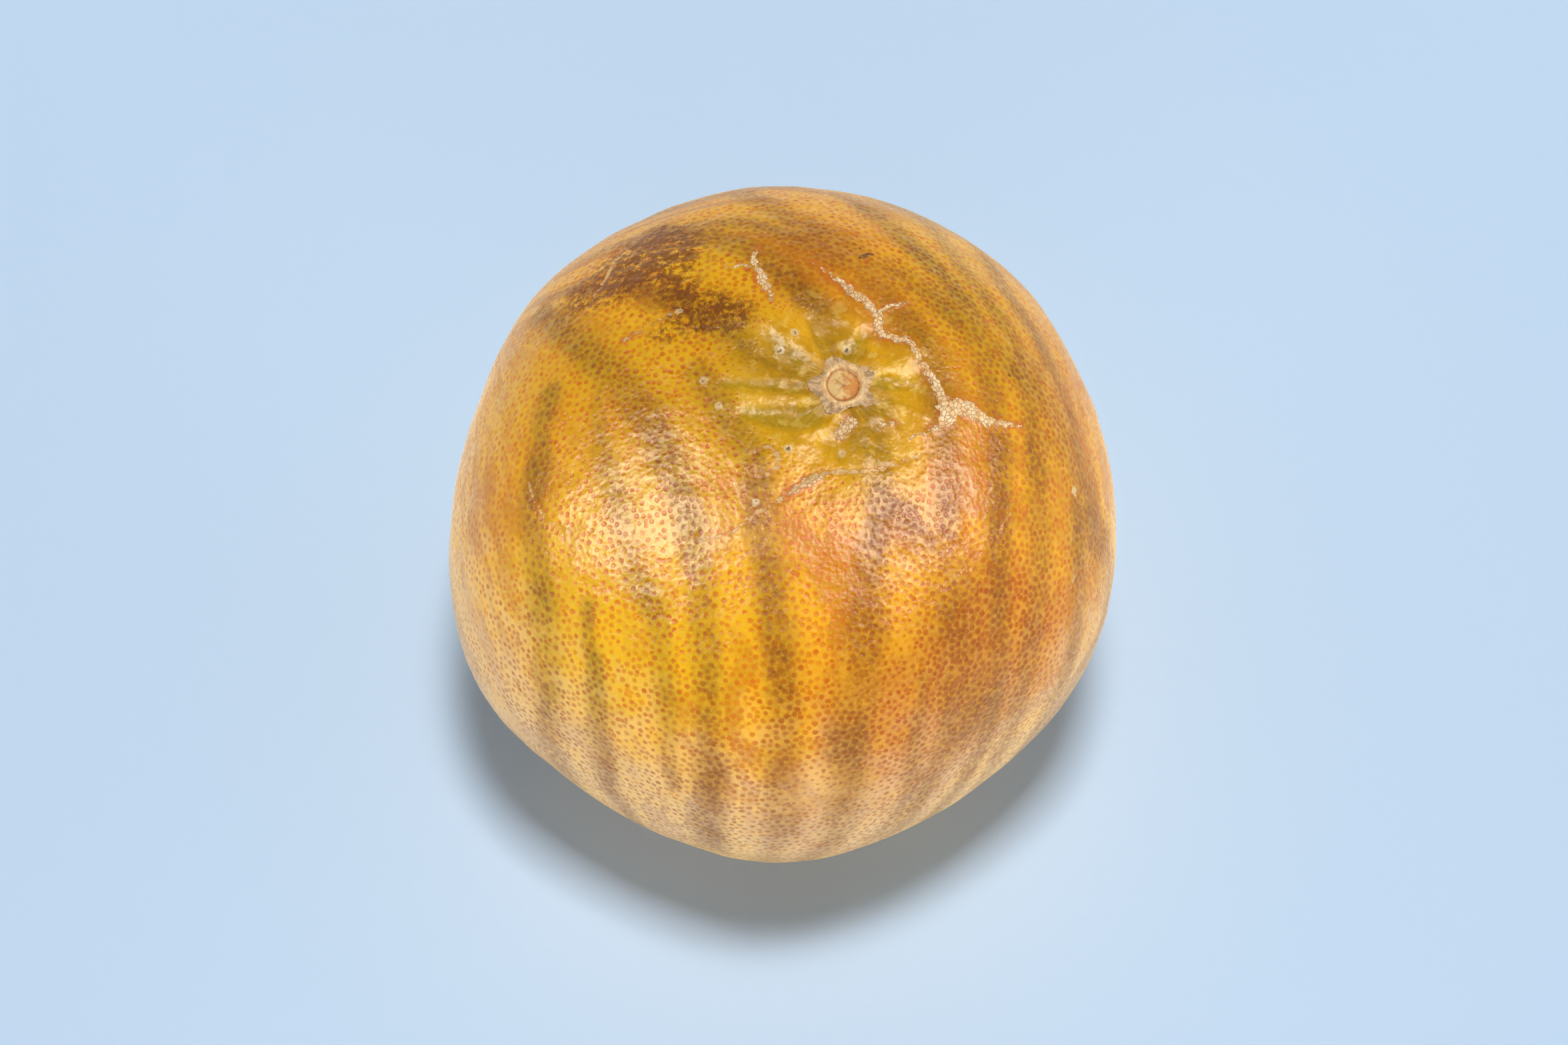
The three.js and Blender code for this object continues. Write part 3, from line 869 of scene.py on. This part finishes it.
def dry_calyx_finish():
    """Dried calyx, painted by the distance from its middle: buff scar with an orange-brown side, a brown
    ring painted as shade in the groove, buff collar and tan sepals with darker fibres."""
    f = Finish("dry_calyx", Roughness=0.85, Specular_IOR_Level=0.15)
    at, across = f.attribute("flat_place", "Vector"), f.attribute("across")
    fine, small = f.noise(at, 0.3, 5, 0.65), f.noise(at, 1.0, 4, 0.6)
    side = f.node("ShaderNodeSeparateXYZ", {0: at}).outputs[0]
    warm = f.between(f.plus(side, f.between(small, 0.25, 0.75, -2.2, 2.2)), -1.4, 1.6)
    scar = f.mix(warm, paint(242, 198, 130), paint(216, 138, 66))
    scar = f.mix(f.between(fine, 0.5, 0.75, 0.0, 0.45), scar, paint(180, 118, 62))
    collar = f.mix(f.between(small, 0.35, 0.65), paint(222, 168, 104), paint(246, 208, 150))
    fibres = f.noise(f.attribute("fibre_grain", "Vector"), 0.5, 3, 0.6)
    sepal = f.mix(f.between(small, 0.3, 0.6), paint(190, 142, 98), paint(228, 186, 136))
    sepal = f.mix(f.between(fibres, 0.48, 0.62, 0.0, 0.6), sepal, paint(132, 98, 64))
    past = f.plus(across, f.between(small, 0.25, 0.75, -0.3, 0.3))
    tone = f.mix(f.between(across, SCAR_RADIUS, GROOVE_RADIUS), scar, collar)
    tone = f.mix(f.between(past, COLLAR_RADIUS - 0.25, COLLAR_RADIUS + 0.35), tone, sepal)
    # Painted shade: a brown ring laid along the groove round the scar.
    off_groove = f.maths("ABSOLUTE", f.maths("SUBTRACT", across, SCAR_RADIUS + 0.08))
    groove = f.between(off_groove, 0.04, 0.24, 0.55, 0.0)
    tone = f.mix(groove, tone, paint(176, 98, 40))
    f.feed(f.shader.inputs["Base Color"], tone)
    f.feed(f.shader.inputs["Normal"], f.bump(f.plus(fine, fibres), 0.14))
    return f.material


# ================================================================ floor, lights and camera
CAMERA_ELEVATION = 63.0          # degrees above level
CAMERA_DISTANCE = 650.0
CAMERA_LENS = 100.0
CAMERA_AIM = (0.16, 0.25, -0.1)  # from the middle of the fruit
FLOOR_BLUE = paint(199, 219, 240)
FLOOR_REACH = 1.6                # metres to each side, short of the low walls
ROOM_STRENGTH = 0.13
ROOM_TINT = (0.62, 0.85, 1.0, 1.0)
BACKDROP_TINT = paint(192, 215, 238)
BOX_DISTANCE = 2.0               # metres
WHITE = (1.0, 1.0, 1.0)
COOL = (0.8, 0.92, 1.0)
SOFT_BOXES = (  # name, direction, width and height in metres, radiance, colour, form or gloss
    ("overhead", (0.04, -0.03, 1.0), 0.38, 0.38, 66.0, WHITE, "form"),
    ("front_wall", (0.0, -1.0, 0.06), 2.4, 0.3, 16.5, COOL, "form"),
    ("left_wall", (-1.0, 0.0, 0.06), 2.4, 0.3, 8.0, COOL, "form"),
    ("right_wall", (1.0, 0.0, 0.06), 2.4, 0.3, 14.0, COOL, "form"),
    ("back_wall", (0.0, 1.0, 0.06), 2.4, 0.3, 8.5, COOL, "form"),
    ("left_box", (-0.59, -0.16, 0.79), 1.0, 1.5, 18.0, WHITE, "gloss"),
    ("right_box", (0.56, -0.07, 0.83), 1.1, 1.2, 16.5, WHITE, "gloss"),
)


def stand_camera():
    """Camera at CAMERA_DISTANCE from the middle of the fruit, looking along +Y and down at it."""
    middle = Vector((fruit_low + fruit_high) / 2 * MM) + Vector(CAMERA_AIM) * MM
    tilt = radians(CAMERA_ELEVATION)
    back = Vector((0, -np.cos(tilt), np.sin(tilt)))
    data = bpy.data.cameras.new("camera")
    data.lens = CAMERA_LENS
    camera = bpy.data.objects.new("camera", data)
    camera.location = middle + back * CAMERA_DISTANCE * MM
    camera.rotation_euler = back.to_track_quat("Z", "Y").to_euler()
    bpy.context.scene.collection.objects.link(camera)
    bpy.context.scene.camera = camera


def soft_box(name, toward, width, height, radiance, colour, lights):
    """A rectangular light in this direction at BOX_DISTANCE, facing the fruit's crown. Its power is
    pi x radiance x area. It lights the form without gloss, or the gloss alone."""
    data = bpy.data.lights.new(name, "AREA")
    data.shape = "RECTANGLE"
    data.size, data.size_y = width, height
    data.color = colour
    data.energy = np.pi * radiance * width * height
    lamp = bpy.data.objects.new(name, data)
    direction = Vector(toward).normalized()
    lamp.location = direction * BOX_DISTANCE + Vector((0, 0, CROWN_RISE * MM))
    lamp.rotation_euler = direction.to_track_quat("Z", "Y").to_euler()
    lamp.visible_camera = False
    lamp.visible_glossy = lights != "form"
    lamp.visible_diffuse = lights != "gloss"
    bpy.context.scene.collection.objects.link(lamp)


def lay_floor():
    """A flat square floor, FLOOR_REACH to each side, without any gloss."""
    half = FLOOR_REACH
    corners = np.array([[-half, -half, 0], [half, -half, 0], [half, half, 0], [-half, half, 0]]) / MM
    floor = make_piece("floor", corners, [[0, 1, 2, 3]], smooth_faces=False)
    f = Finish("floor", Roughness=1.0, Specular_IOR_Level=0.0, Base_Color=FLOOR_BLUE)
    floor.data.materials.append(f.material)


def light_the_room():
    """Even blue room light, a pale backdrop that only the camera sees, and the soft boxes: one overhead
    for the form and the shadow, four low walls that reach the sides of the fruit, and two for gloss."""
    world = bpy.data.worlds.new("room")
    world.use_nodes = True
    nodes, links = world.node_tree.nodes, world.node_tree.links
    lighting = nodes["Background"]
    lighting.inputs["Color"].default_value = ROOM_TINT
    lighting.inputs["Strength"].default_value = ROOM_STRENGTH
    backdrop = nodes.new("ShaderNodeBackground")
    backdrop.inputs["Color"].default_value = BACKDROP_TINT
    seen = nodes.new("ShaderNodeMixShader")
    links.new(nodes.new("ShaderNodeLightPath").outputs["Is Camera Ray"], seen.inputs[0])
    links.new(lighting.outputs[0], seen.inputs[1])
    links.new(backdrop.outputs[0], seen.inputs[2])
    links.new(seen.outputs[0], nodes["World Output"].inputs["Surface"])
    bpy.context.scene.world = world
    bpy.context.scene.view_settings.view_transform = "Standard"
    for box in SOFT_BOXES:
        soft_box(*box)


stand_camera()
light_the_room()
lay_floor()

fruit = make_fruit()
fruit.data.materials.append(rind_finish())
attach(fruit, "root")
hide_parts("fruit")

button = make_calyx_button()
button.data.materials.append(dry_calyx_finish())
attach(button, "root")
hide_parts("calyx_button")
